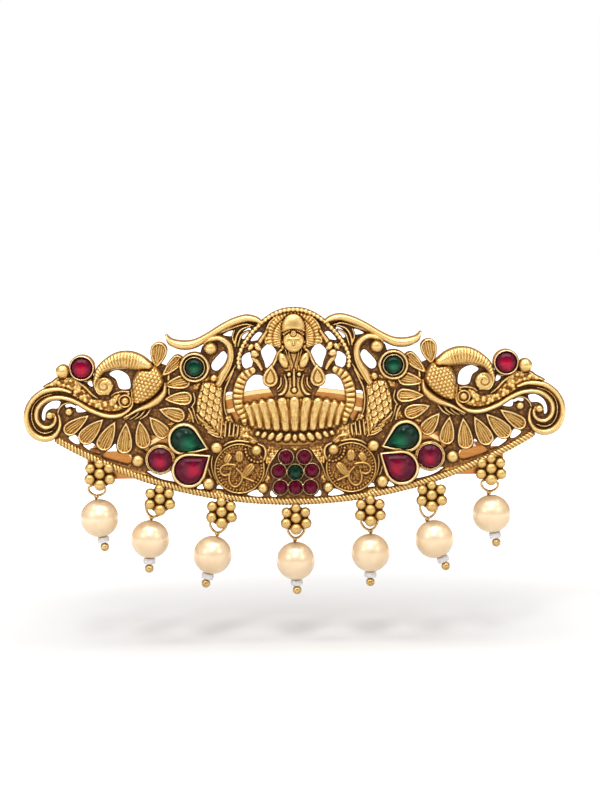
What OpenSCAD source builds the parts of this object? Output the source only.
// Antique gold hair clip: a pierced temple-style front plate with stones, seven bead drops,
// and a hinged hair grip behind it. Millimetres. X runs to the right as seen from the front,
// Y runs to the back, and Z runs up. The origin is the middle of the hair gap.

/* [Plate] */
// Distance from the middle of the hair gap to the back of the plate
plate_back = 4.3; // [4.2:0.1:6]
// Thickness of the pierced web
web_t = 1.2; // [0.8:0.1:1.6]
// Height of the petal rims above the web
rim_h = 1.0; // [0.6:0.1:1.4]
// Height of the scroll bands above the web
band_h = 1.4; // [0.8:0.1:1.8]
// Height of the stone settings above the web
bezel_h = 1.6; // [1.2:0.1:2]
// Radius of the arc that the rope border follows
rope_arc_r = 96.7; // [90:0.1:105]
// Lowest point of the rope border's centre line
rope_low_z = -19.1; // [-20:0.1:-18.5]
// Thickness of the rope border
rope_d = 1.76; // [1.4:0.02:2]

/* [Stones] */
// Gap between a stone and its setting
stone_gap = 0.06; // [0.03:0.01:0.1]
// Height of a stone's table above its setting
stone_crown = 0.6; // [0.4:0.1:1]
// Radius of the seven rubies of the flower
flower_ruby_r = 1.42; // [1.2:0.02:1.46]
// Radius of the green stone of the flower
flower_green_r = 1.54; // [1.3:0.02:1.6]

/* [Drops] */
// Diameter of a pearl
pearl_d = 8; // [7:0.1:8]
// Radius of the drop wires
wire_r = 0.27; // [0.2:0.01:0.28]
// Radius of the gold ball that ends a drop wire
ball_r = 0.93; // [0.8:0.01:1]
// Radius of the small white bead under a pearl
seed_r = 1.3; // [1.1:0.05:1.4]
// Height of the small white bead
seed_h = 1.12; // [0.8:0.02:1.14]
// Width of a drop's wire loop, measured on the wire's centre line
loop_w = 3.5; // [2.6:0.1:3.6]

/* [Grip] */
// Clear height of the hair gap
gap_h = 7; // [6:0.1:7]
// Radius of the arched strips' centre line
grip_arc_r = 60; // [58:0.5:62]
// Height of the base strip's centre line in its middle
grip_mid_z = 1.45; // [1:0.05:2]
// Width of the base strip
base_w = 6.4; // [6:0.1:7]
// Width of the lever strip
lever_w = 4.8; // [4.4:0.1:4.9]
// Half angle of the arched part of both strips
grip_half_angle = 35; // [34:0.5:36]
// Thickness of the strips
strip_t = 0.8; // [0.8:0.05:1]
// Distance of the hinge pin from the middle of the clip
pin_x = 41.8; // [41.5:0.1:42]
// Radius of the hinge pin
pin_r = 0.6; // [0.5:0.02:0.7]
// Running clearance of the lever on the pin
pin_clearance = 0.08; // [0.05:0.01:0.1]

/* [Hidden] */
$fn = 48;

// Heights are distances in front of the hair gap's middle, towards -Y
web_top = plate_back + web_t;
rim_top = web_top + rim_h;
band_top = web_top + band_h;
bezel_top = web_top + bezel_h;
floor_top = web_top + 0.5;
relief_top = web_top + 2.2;
seat_gap = 0.05;
over = 0.01;

// Columns: x, z, width of a smooth band's centre line, for the right half
S_TAIL = [[34.0, 5.2, 0.7], [33.5, 3.4, 0.9], [33.9, 1.4, 1.0], [35.2, -0.1, 1.0], [37.4, -0.7, 1.1],
    [40.4, -0.2, 1.1], [43.3, 1.2, 1.0], [46.3, 2.8, 0.95], [49.2, 3.5, 0.95], [51.6, 2.8, 0.95],
    [53.1, 1.2, 0.95], [53.4, -0.8, 0.95], [52.7, -2.3, 0.9], [51.4, -2.9, 0.9], [50.2, -2.3, 0.9],
    [49.7, -1.1, 0.9], [50.2, -0.2, 0.9]];
OUTER_SCROLL = [[46.2, 4.6, 0.7], [48.2, 5.0, 0.9], [50.4, 4.9, 1.0], [52.6, 4.1, 1.0],
    [54.4, 2.4, 1.0], [55.5, 0.1, 1.1], [55.6, -2.0, 1.15], [54.7, -3.9, 1.25], [53.1, -5.0, 1.35],
    [51.4, -5.3, 1.3], [49.9, -4.7, 1.1], [49.0, -3.3, 0.9], [48.8, -1.7, 0.7], [49.2, -0.7, 0.5]];
SWOOSH = [[26.3, 16.2, 0.5], [25.2, 14.7, 1.3], [22.8, 13.8, 1.7], [20.3, 14.2, 1.6],
    [17.8, 15.4, 1.1], [14.8, 17.1, 1.2], [12.3, 18.3, 1.4], [9.8, 19.1, 1.4], [7.8, 18.8, 1.1],
    [6.4, 18.1, 0.8]];
PEACOCK_NECK = [[40.2, 4.4, 0.8], [40.6, 7.2, 1.3], [39.2, 9.5, 2.5], [36.8, 10.7, 3.4],
    [33.8, 11.0, 3.5], [31.2, 10.0, 3.1], [29.6, 8.3, 1.6]];
BIRD_NECK = [[17.3, 14.4, 0.8], [15.9, 15.3, 1.2], [14.2, 14.9, 1.3], [13.1, 13.4, 1.3],
    [13.1, 11.4, 1.4], [13.9, 9.4, 1.6], [15.3, 7.6, 2.0]];
BRACKET = [[8.6, 8.6, 1.2], [10.3, 6.6, 1.7], [11.3, 4.0, 1.9], [11.4, 1.2, 1.7], [10.4, -1.0, 1.4],
    [9.4, -2.7, 1.0]];
ARCH = [[5.3, 14.2, 1.0], [7.4, 13.7, 1.0], [8.2, 12.2, 1.0], [7.6, 10.4, 1.0], [6.6, 9.0, 0.9]];
BODY_CRESCENT = [[27.0, 6.2, 0.6], [26.9, 4.2, 1.3], [28.2, 2.2, 1.8], [30.4, 0.7, 1.5],
    [32.6, -0.2, 0.9]];

// Columns: x and z of the round end, its radius, x and z of the pointed end
PETALS = [[46.8, -3.1, 1.5, 43.1, -0.3], [43.6, -4.8, 1.75, 39.2, -1.4], [39.6, -6.1, 1.7, 37.3, -1.8],
    [35.4, -7.2, 1.65, 34.8, -2.0], [31.3, -5.7, 1.7, 32.0, -1.8], [27.4, -3.9, 1.65, 30.4, -0.8],
    [24.2, -0.9, 1.55, 27.8, 0.2], [22.5, 2.7, 1.4, 26.4, 2.6], [22.1, 5.5, 0.85, 26.0, 4.9],
    [23.3, 7.6, 1.0, 26.7, 6.6], [24.1, 11.0, 1.25, 27.3, 8.2], [27.5, 13.1, 1.7, 28.2, 9.8]];
// Columns: x, z, radius of the smooth gold domes
DOMES = [[47.9, 8.7, 1.45], [17.2, 13.2, 1.4], [32.7, -10.1, 1.29], [16.3, -7.6, 1.25],
    [18.1, -15.1, 1.29], [8.0, -8.3, 1.14], [6.8, -16.2, 1.1], [46.8, 0.3, 0.83], [50.8, -0.4, 0.85],
    [35.0, 2.4, 0.9]];
// Columns: name, x, z, stone radius, setting radius of the round stones
ROUND_STONES = [["wing_ruby", 43.9, 9.4, 2.1, 2.6], ["round_emerald", 20.6, 9.2, 1.86, 2.55],
    ["lower_ruby", 28.0, -9.9, 2.46, 3.0]];
// Columns: name, x, z and setting radius of the round end, x and z of the tip
PEAR_STONES = [["pear_emerald", 23.0, -5.7, 3.1, 17.75, -7.9],
    ["pear_ruby", 22.1, -12.2, 3.35, 17.4, -8.95]];
pear_wall = 0.55;
// Radius of the web's disc under the round emerald
emerald_ring_r = 3.05;
// Columns: x, z of the flower's rubies round its green stone
FLOWER = [[-1.9, -9.75], [1.9, -9.75], [3.45, -12.65], [3.12, -16.05], [0, -16.1], [-3.12, -16.05],
    [-3.45, -12.65]];
flower_z = -12.9;
medallion = [11.6, -12.0];
medallion_r = 5.4;
halo_z = 15.0;
halo_r = 6.15;

// Pierced openings of the right half, each an outline of x and z
GAPS = [
    [[38.3, 7.9], [37.2, 8.7], [35.8, 8.6], [34.5, 7.7], [34.1, 6.3], [34.6, 5.6], [36.6, 5.9], [37.2, 7.1]],
    [[42.9, 6.2], [42.1, 6.7], [41.8, 5.5], [42.4, 5.5]],
    [[48.6, 2.4], [50.2, 2.5], [51.7, 1.5], [52.4, 0.2], [52.5, -1.2], [51.9, -1.5], [51.6, 0.2], [50.6, 0.9],
     [49.2, 1.0]],
    [[45.5, 1.5], [46.4, 2.1], [47.6, 1.6], [47.4, 1.1], [46.5, 1.3], [45.8, 1.0]],
    [[45.2, 1.6], [45.2, 0.1], [43.2, 0.4]],
    [[47.1, -5.3], [45.6, -4.6], [44.8, -6.3], [45.7, -6.5]],
    [[44.1, -6.8], [42.4, -6.2], [40.9, -7.6], [40.7, -8.9], [42.4, -8.2]],
    [[40.2, -9.2], [38.2, -7.4], [37.3, -6.6], [36.8, -8.4], [34.2, -8.9], [34.6, -10.9], [37.6, -10.3]],
    [[30.3, -4.9], [28.5, -5.2], [26.4, -5.2], [25.9, -7.0], [28.0, -7.2], [30.8, -8.6], [31.5, -7.3]],
    [[14.5, 12.4], [13.8, 11.2], [14.6, 9.6], [15.9, 8.4], [16.9, 8.7], [17.0, 9.9], [15.6, 11.6]],
    [[14.6, 15.8], [12.6, 16.7], [12.6, 15.5]],
    [[9.1, 17.2], [10.6, 16.2], [10.7, 15.0], [9.9, 15.0], [8.8, 16.3]],
    [[7.2, 16.3], [6.3, 15.8], [6.5, 14.9], [8.8, 14.4], [8.3, 15.4]],
    [[5.2, 13.8], [6.6, 12.6], [6.7, 11.7], [6.1, 10.0], [5.7, 8.8], [4.6, 9.8], [3.6, 11.8], [4.2, 13.1]],
    [[9.3, 12.1], [8.5, 11.4], [8.7, 9.4], [9.6, 8.6], [10.6, 9.3], [10.7, 11.1]],
    [[8.6, 7.2], [6.4, 7.0], [5.4, 4.9], [4.2, 2.7], [5.4, 2.0], [7.6, 1.1], [10.6, 0.8], [10.6, 4.4]],
    [[14.2, 3.6], [12.4, 3.6], [12.4, 0.8], [11.3, -1.3], [12.4, -2.6], [13.6, -1.8], [14.1, 0.4]],
    [[30.9, -12.4], [28.3, -12.6], [25.3, -12.2], [24.3, -14.6], [26.9, -14.4], [29.2, -13.6]],
    [[20.6, -16.1], [19.2, -15.1], [18.7, -15.9], [19.6, -16.4]],
    [[16.5, -16.4], [15.9, -15.3], [15.0, -16.5], [15.8, -17.0]],
    [[10.1, -17.6], [8.2, -16.6], [7.3, -17.1], [6.8, -18.0], [8.3, -18.1]],
    [[5.3, -17.2], [4.6, -16.6], [4.0, -17.4], [4.0, -18.2], [5.1, -18.1]]];
// Outline of the web's right half above the rope border, from the top centre outwards
WEB_EDGE = [[0, 20.9], [3.6, 19.9], [5.9, 18.3], [9.0, 18.5], [12.0, 17.6], [15.4, 15.9], [17.5, 14.6],
    [19.0, 13.4], [19.4, 12.0], [21.0, 9.0], [24.4, 9.6], [26.5, 9.6], [28.2, 10.3], [30.0, 9.9],
    [33.5, 9.9], [36.5, 9.9], [39.0, 8.6], [41.2, 7.4], [42.4, 8.2], [44.5, 7.6], [46.5, 8.2], [48.9, 7.6],
    [50.2, 5.9], [51.4, 4.9], [53.4, 3.6], [55.0, 1.4], [55.5, -1.5], [54.7, -4.0], [52.4, -5.3],
    [50.6, -5.3]];
rope_angles = [for (a = [31:-3.1:0.1]) a];

// Columns: x, z of each bead cluster under the rope
CLUSTERS = [[-40.7, -13.1], [-28.3, -18.5], [-15.5, -21.4], [0, -22.9], [15.5, -21.4], [28.3, -18.5],
    [40.7, -13.1]];
// Columns: x, z and radius of a cluster's beads about its centre
CLUSTER_BEADS = [[-2.05, 1.55, 1.0], [0, 2.5, 0.95], [2.05, 1.55, 1.0], [0, 0.5, 1.1], [-2.2, -0.7, 1.08],
    [2.15, -0.75, 1.08], [0, -2.1, 1.15]];
cluster_back_r = 2.7;
// Columns: x and z of the wire loop's top, x and z of the pearl's centre, tilt of the pearl's bore
DROPS = [[-41.4, -15.35, -41.1, -22.3, 9], [-29.2, -19.03, -30.6, -26.9, -3],
    [-16.1, -22.26, -17.6, -30.4, -14], [0.1, -23.64, -0.2, -31.9, 2], [15.2, -22.14, 15.5, -30.4, -1],
    [27.9, -19.33, 28.9, -27.7, 22], [40.7, -15.35, 40.9, -22.5, 9]];
drop_depth = 3.86;
eye_r = 0.72;
eye_wire = 0.24;
bore_gap = 0.1;
pearl_r = pearl_d / 2;
wrap_r = 0.5;
wrap_h = 0.8;
wrap_lift = 0.2;

tab_top_z = -8.3;
tab_low_z = -14.1;
tab_mid_z = (tab_top_z + tab_low_z) / 2;
tab_inner_x = grip_arc_r * sin(grip_half_angle) - 2.6;
tab_end_x = pin_x + 1.6;
ear_t = 0.8;
knuckle_r = 1.3;
knuckle_gap = 0.12;
knuckle_y = gap_h / 2 - 0.4;
lever_half = (tab_top_z - tab_low_z) / 2 - ear_t - knuckle_gap;
lever_end_x = 40.2;
prong_gap = 0.22;
prong_y = gap_h / 2 + strip_t + 0.9;

function reversed(list) = [for (i = [len(list) - 1:-1:0]) list[i]];
function mirrored(list) = [for (p = list) concat([-p[0]], [for (i = [1:len(p) - 1]) p[i]])];
// The half outline joined to its mirror image
function both_sides(half) = concat(half, reversed(mirrored(half)));
// A point on the smooth curve through four neighbouring rows, at t between the middle two
function between(a, b, c, d, t) = 0.5 * (2 * b + (c - a) * t + (2 * a - 5 * b + 4 * c - d) * t * t
    + (3 * b - a - 3 * c + d) * t * t * t);
// The smooth curve through all rows, with the given number of steps between two rows
function smooth(rows, steps) = let (n = len(rows)) concat([for (i = [0:n - 2], s = [0:steps - 1])
    between(rows[max(i - 1, 0)], rows[i], rows[i + 1], rows[min(i + 2, n - 1)], s / steps)], [rows[n - 1]]);
// Unit vector square to the curve at point i
function side_of(line, i) = let (n = len(line), a = line[max(i - 1, 0)], b = line[min(i + 1, n - 1)],
    d = [b[0] - a[0], b[1] - a[1]]) [-d[1], d[0]] / norm(d);
// Outline of a band with the widths in the third column, times k
function ribbon(line, k) = concat(
    [for (i = [0:len(line) - 1]) [line[i][0], line[i][1]] + side_of(line, i) * line[i][2] * k / 2],
    reversed([for (i = [0:len(line) - 1]) [line[i][0], line[i][1]] - side_of(line, i) * line[i][2] * k / 2]));
// Outline of a drop shape: an arc of radius r round c, closed by tangents to the tip
function teardrop(c, r, tip, steps) = let (v = tip - c, a = atan2(v[1], v[0]), open = acos(r / norm(v)))
    concat([tip], [for (i = [0:steps]) let (t = a + open + (360 - 2 * open) * i / steps)
        c + r * [cos(t), sin(t)]]);
// The drop shape drawn in by a wall of the given width on every side
function inner_teardrop(c, r, tip, wall, steps) = let (v = tip - c, u = v / norm(v))
    teardrop(c, r - wall, tip - u * wall * norm(v) / r, steps);

module layer(from, to) {
    translate([0, -from, 0]) rotate([90, 0, 0]) linear_extrude(to - from) children();
}

module both() {
    children();
    mirror([1, 0, 0]) children();
}

// A ball or dome cut flat at the back of the plate
module dome(x, z, r, depth) {
    intersection() {
        translate([x, -depth, z]) sphere(r);
        translate([x - 2 * r, -plate_back - 4 * r, z - 2 * r]) cube([4 * r, 4 * r, 4 * r]);
    }
}

module petals() {
    for (p = PETALS) {
        c = [p[0], p[1]];
        tip = [p[3], p[4]];
        layer(plate_back, floor_top) polygon(teardrop(c, p[2], tip, 12));
        layer(floor_top - over, rim_top) difference() {
            polygon(teardrop(c, p[2], tip, 12));
            polygon(inner_teardrop(c, p[2], tip, 0.42, 10));
        }
    }
}

module bands() {
    for (b = [S_TAIL, OUTER_SCROLL]) layer(plate_back, band_top) polygon(ribbon(smooth(b, 3), 1));
    layer(plate_back, band_top) polygon(ribbon(smooth(SWOOSH, 3), 1));
    layer(plate_back, rim_top) polygon(ribbon(smooth(ARCH, 3), 1));
    layer(plate_back, rim_top) polygon(ribbon(smooth(BRACKET, 3), 1));
}

// A smooth rounded neck in three steps of height
module neck(rows, top) {
    for (step = [[1, 0.5], [0.76, 0.82], [0.42, 1]])
        layer(plate_back, web_top + (top - web_top) * step[1]) polygon(ribbon(smooth(rows, 3), step[0]));
}

// An egg lying in the plate, cut flat behind
module egg(x, z, r, long, tilt, depth) {
    intersection() {
        translate([x, -depth, z]) rotate([0, tilt, 0]) rotate_extrude()
            polygon([for (i = [0:9]) let (a = -90 + i * 20) [r * cos(a), long * sin(a)]]);
        translate([x - 10, -plate_back - 20, z - 10]) cube([20, 20, 20]);
    }
}

module peacock() {
    neck(PEACOCK_NECK, relief_top);
    dome(39.1, 5.5, 1.85, web_top + 0.4);
    egg(30.6, 5.3, 3.5, 5.0, -12, web_top + 0.1);
    layer(plate_back, band_top + 0.3) polygon(ribbon(smooth(BODY_CRESCENT, 3), 1));
}

module second_bird() {
    neck(BIRD_NECK, relief_top);
    egg(17.2, 3.0, 2.6, 5.0, -6, web_top - 0.2);
    layer(plate_back, rim_top) polygon([[19.8, 3.5], [20.2, -0.5], [18.2, -4.2], [14.8, -6.2], [13.0, -4.6],
        [13.2, -1.5], [14.6, 2.0], [15.5, 4.5]]);
}

module settings() {
    for (s = ROUND_STONES) layer(plate_back, bezel_top) difference() {
        translate([s[1], s[2]]) circle(s[4]);
        translate([s[1], s[2]]) circle(s[3] + stone_gap);
    }
    for (s = ROUND_STONES) layer(plate_back, web_top) translate([s[1], s[2]]) circle(s[4]);
    for (s = PEAR_STONES) {
        c = [s[1], s[2]];
        tip = [s[4], s[5]];
        layer(plate_back, web_top) polygon(teardrop(c, s[3], tip, 16));
        layer(plate_back, bezel_top) difference() {
            polygon(teardrop(c, s[3], tip, 16));
            polygon(inner_teardrop(c, s[3], tip, pear_wall - stone_gap, 14));
        }
    }
    layer(plate_back, web_top) translate([20.6, 9.2]) circle(emerald_ring_r);
}

module flower_setting() {
    layer(plate_back, bezel_top - 0.3) difference() {
        union() {
            for (p = FLOWER) translate(p) circle(1.95);
            translate([0, flower_z]) circle(2.2);
        }
        for (p = FLOWER) translate(p) circle(flower_ruby_r + stone_gap);
        translate([0, flower_z]) circle(flower_green_r + stone_gap);
    }
    layer(plate_back, web_top) translate([0, flower_z - 0.2]) circle(4.6);
}

module medallions() {
    layer(plate_back, web_top + 0.3) translate(medallion) circle(medallion_r);
    layer(web_top, rim_top) translate(medallion) difference() {
        circle(medallion_r);
        circle(medallion_r - 0.45);
    }
    layer(web_top, rim_top) for (i = [0:17]) translate(medallion)
        rotate(i * 20) translate([medallion_r - 1.1, 0]) circle(0.42, $fn = 8);
    layer(web_top, rim_top + 0.2)
        polygon(teardrop(medallion + [0.6, -1.5], 2.1, medallion + [-3.2, 0.9], 14));
    dome(10.6, -9.6, 1.25, web_top);
}

// The seated figure under its halo, on a lotus
module figure() {
    layer(plate_back, web_top + 0.4) translate([0, halo_z]) circle(halo_r);
    layer(web_top, rim_top) for (a = [-12:12:192]) translate([0, halo_z])
        rotate(a) translate([3.1, -0.28]) square([2.7, 0.56]);
    layer(plate_back, web_top) polygon(both_sides([[0, 14], [2.6, 12.6], [3.2, 9.5], [5.6, 8.8], [6.1, 6.0],
        [4.4, 3.0], [0, 2.2]]));
    dome(0, 14.0, 1.85, web_top + 1.0);
    egg(0, 17.4, 2.25, 2.6, 0, web_top + 0.4);
    egg(0, 9.6, 1.9, 2.9, 0, web_top + 0.1);
    egg(0, 4.4, 2.0, 3.4, 90, web_top + 0.1);
    both() {
        egg(2.1, 10.6, 0.85, 1.7, 12, web_top + 0.8);
        layer(plate_back, rim_top + 0.5) polygon(teardrop([4.8, 6.3], 1.35, [4.5, 9.2], 12));
    }
}

module lotus() {
    layer(plate_back, web_top + 0.8) polygon(both_sides([[0, 2.4], [4.0, 2.0], [8.2, 1.0], [10.0, 0.2],
        [9.6, -2.2], [8.0, -4.2], [4.0, -4.4], [0, -4.5]]));
    for (i = [0:5]) both() layer(web_top, rim_top + 0.5 - i * 0.05)
        polygon(teardrop([i * 1.5, -2.9 + i * 0.12], 0.7, [i * 1.62, 2.1 - i * 0.3], 8));
    layer(plate_back, web_top + 0.3) polygon(both_sides([[0, -4.2], [6.0, -4.2], [7.2, -5.4], [5.6, -7.4],
        [0, -8.0]]));
    for (i = [0:4]) both() layer(web_top, rim_top)
        polygon(teardrop([i * 1.45, -5.9 + i * 0.15], 0.62, [i * 1.45 + 0.5, -4.4], 8));
}

module web() {
    rope_points = [for (a = rope_angles)
        [rope_arc_r * sin(a), rope_low_z + rope_arc_r * (1 - cos(a))]];
    layer(plate_back, web_top) difference() {
        polygon(both_sides(concat(WEB_EDGE, rope_points, [[0, rope_low_z]])));
        for (g = GAPS) {
            polygon(g);
            polygon(mirrored(g));
        }
    }
}

module rope() {
    translate([0, -web_top, rope_low_z + rope_arc_r]) rotate([90, 0, 0])
        rotate([0, 0, -90 - 31]) rotate_extrude(angle = 62, $fn = 96)
            translate([rope_arc_r, 0]) circle(rope_d / 2, $fn = 24);
}

module clusters() {
    for (c = CLUSTERS) {
        layer(plate_back, web_top) translate(c) circle(cluster_back_r);
        for (b = CLUSTER_BEADS) dome(c[0] + b[0], c[1] + b[1], b[2], web_top + 0.35);
    }
}

// Half-round eyes behind the clusters, one for each drop's wire loop
module eyes() {
    for (d = DROPS) {
        layer(plate_back, web_top) translate([d[0], d[1]]) circle(0.9);
        translate([d[0], -drop_depth, d[1]]) rotate([0, 90, 0])
            rotate_extrude($fn = 32) translate([eye_r, 0]) circle(eye_wire, $fn = 16);
    }
}

module front_plate() {
    color("goldenrod") {
        web();
        rope();
        clusters();
        eyes();
        figure();
        lotus();
        flower_setting();
        both() {
            petals();
            bands();
            peacock();
            second_bird();
            settings();
            medallions();
            for (d = DOMES) dome(d[0], d[1], d[2], web_top + 0.35);
        }
    }
}

// A cut stone: a flat back, a girdle and a table, each an outline drawn in towards the middle
module cut_stone(girdle, middle) {
    n = len(girdle);
    base = web_top + seat_gap;
    // Columns: outline scale, distance in front of the hair gap's middle
    levels = [[0.86, base], [1, bezel_top - 0.35], [0.62, bezel_top + stone_crown]];
    points = [for (l = levels, p = girdle) let (q = middle + (p - middle) * l[0]) [q[0], -l[1], q[1]]];
    sides = [for (l = [0:len(levels) - 2], i = [0:n - 1]) let (j = (i + 1) % n)
        [l * n + i, l * n + j, (l + 1) * n + j, (l + 1) * n + i]];
    caps = [[for (i = [n - 1:-1:0]) i], [for (i = [0:n - 1]) (len(levels) - 1) * n + i]];
    polyhedron(points, [for (f = concat(sides, caps)) reversed(f)]);
}

module round_stone(x, z, r, facets) {
    cut_stone([for (i = [0:facets - 1]) let (a = 360 * i / facets) [x + r * cos(a), z + r * sin(a)]], [x, z]);
}

module pear_stone(s, sign) {
    c = [sign * s[1], s[2]];
    tip = [sign * s[4], s[5]];
    outline = inner_teardrop(c, s[3], tip, pear_wall, 12);
    cut_stone(outline, c * 0.78 + tip * 0.22);
}

module named_stone(name, sign) {
    green = name == "round_emerald" || name == "pear_emerald";
    color(green ? "seagreen" : "crimson") {
        for (s = ROUND_STONES) if (s[0] == name) round_stone(sign * s[1], s[2], s[3], 14);
        for (s = PEAR_STONES) if (s[0] == name) pear_stone(s, sign);
    }
}

module flower_ruby(i) {
    color("crimson") round_stone(FLOWER[i - 1][0], FLOWER[i - 1][1], flower_ruby_r, 10);
}

module flower_emerald() {
    color("seagreen") round_stone(0, flower_z, flower_green_r, 10);
}

// Moves to a pearl's centre, with +Z along its bore
module at_pearl(i) {
    d = DROPS[i - 1];
    translate([d[2], -drop_depth, d[3]]) rotate([0, -d[4], 0]) children();
}

module pearl(i) {
    color("linen") at_pearl(i) difference() {
        sphere(pearl_r);
        cylinder(h = pearl_d + 2, r = wire_r + bore_gap, center = true);
    }
}

module seed_bead(i) {
    color("white") at_pearl(i) translate([0, 0, -pearl_r - seat_gap - seed_h / 2]) difference() {
        intersection() {
            sphere(seed_r);
            cube([4 * seed_r, 4 * seed_r, seed_h], center = true);
        }
        cylinder(h = seed_h + 2, r = wire_r + bore_gap, center = true);
    }
}

// Closed drop-shaped loop of wire in the XZ plane, with its foot at the origin and its top at +Z
module wire_loop(length) {
    steps = 22;
    sides = 6;
    centre = [for (i = [0:steps - 1]) let (a = 360 * i / steps)
        [loop_w / 2 * sin(a) * (1 - 0.2 * cos(a)), length * (1 - cos(a)) / 2]];
    rings = [for (i = [0:steps - 1]) let (a = centre[(i + steps - 1) % steps], b = centre[(i + 1) % steps],
        u = (b - a) / norm(b - a)) [for (k = [0:sides - 1]) let (t = 360 * k / sides)
            [centre[i][0] - u[1] * wire_r * cos(t), wire_r * sin(t), centre[i][1] + u[0] * wire_r * cos(t)]]];
    points = [for (r = rings, p = r) p];
    faces = [for (i = [0:steps - 1], k = [0:sides - 1]) let (j = (i + 1) % steps, m = (k + 1) % sides)
        [i * sides + k, i * sides + m, j * sides + m, j * sides + k]];
    polyhedron(points, faces);
}

module drop_wire(i) {
    d = DROPS[i - 1];
    foot = [d[2] - (pearl_r + seat_gap) * sin(d[4]), d[3] + (pearl_r + seat_gap) * cos(d[4])];
    reach = [d[0], d[1]] - foot;
    low = -pearl_r - 2 * seat_gap - seed_h - ball_r;
    color("gold") {
        at_pearl(i) {
            translate([0, 0, low]) sphere(ball_r, $fn = 24);
            translate([0, 0, low]) cylinder(h = pearl_r + wrap_lift + 0.4 - low, r = wire_r, $fn = 16);
        }
        translate([foot[0], -drop_depth, foot[1]]) rotate([0, atan2(reach[0], reach[1]), 0]) {
            translate([0, 0, wrap_lift]) cylinder(h = wrap_h, r = wrap_r, $fn = 24);
            translate([0, 0, wrap_h]) wire_loop(norm(reach) - wrap_h);
        }
    }
}

// The arched part of a strip, lying in the XZ plane
module arc_strip(width, from, to) {
    translate([0, -to, grip_mid_z - grip_arc_r]) rotate([-90, 0, 0]) rotate([0, 0, -90 - grip_half_angle])
        rotate_extrude(angle = 2 * grip_half_angle, $fn = 120)
            translate([grip_arc_r - width / 2, 0]) square([width, to - from]);
}

module clip_base() {
    front = plate_back - seat_gap;
    back = gap_h / 2;
    floor_front = back + strip_t - 0.35;
    color("darkgoldenrod") {
        arc_strip(base_w, back, floor_front);
        for (rib = [-1, 0, 1]) translate([0, 0, rib * (base_w - 0.8) / 2]) intersection() {
            arc_strip(0.8, back, front);
            translate([-50, -front, -40]) cube([100, front - back, 60]);
        }
        both() translate([tab_inner_x, -floor_front, tab_low_z])
            cube([tab_end_x - tab_inner_x, floor_front - back, tab_top_z - tab_low_z]);
        for (z = [tab_low_z, tab_top_z - ear_t]) difference() {
            union() {
                translate([-pin_x - 1.5, -floor_front, z]) cube([3, floor_front + knuckle_y, ear_t]);
                translate([-pin_x, knuckle_y, z]) cylinder(h = ear_t, r = 1.5);
            }
            translate([-pin_x, knuckle_y, z - 1]) cylinder(h = ear_t + 2, r = pin_r + 0.02);
        }
        for (side = [-1, 1]) translate([lever_end_x - 2.4, 0, tab_mid_z]) {
            prong_z = side * (lever_half + prong_gap + ear_t / 2);
            translate([0, -floor_front, prong_z - ear_t / 2]) cube([2.2, floor_front + prong_y, ear_t]);
        }
    }
}

module clip_lever() {
    front = gap_h / 2;
    color("darkgoldenrod") difference() {
        union() {
            arc_strip(lever_w, -front - strip_t, -front);
            both() translate([tab_inner_x + 1, front, tab_mid_z - lever_half])
                cube([lever_end_x - tab_inner_x - 1, strip_t, 2 * lever_half]);
            translate([-pin_x + 0.4, front, tab_mid_z - lever_half])
                cube([pin_x - lever_end_x + 1, strip_t, 2 * lever_half]);
            translate([-pin_x, knuckle_y, tab_mid_z - lever_half])
                cylinder(h = 2 * lever_half, r = knuckle_r);
        }
        translate([-pin_x, knuckle_y, tab_mid_z - 10]) cylinder(h = 20, r = pin_r + pin_clearance);
    }
}

module hinge_pin() {
    head_h = 0.5;
    color("goldenrod") translate([-pin_x, knuckle_y, 0]) {
        translate([0, 0, tab_low_z - head_h]) cylinder(h = tab_top_z - tab_low_z + 2 * head_h, r = pin_r);
        for (z = [tab_low_z - head_h, tab_top_z + seat_gap]) translate([0, 0, z])
            cylinder(h = head_h - seat_gap, r = 0.95);
    }
}

front_plate();
clip_base();
clip_lever();
hinge_pin();
for (side = [["left", -1], ["right", 1]], name = ["wing_ruby", "round_emerald", "pear_emerald", "pear_ruby",
    "lower_ruby"])
    named_stone(name, side[1]);
flower_emerald();
for (i = [1:7]) {
    flower_ruby(i);
    drop_wire(i);
    pearl(i);
    seed_bead(i);
}
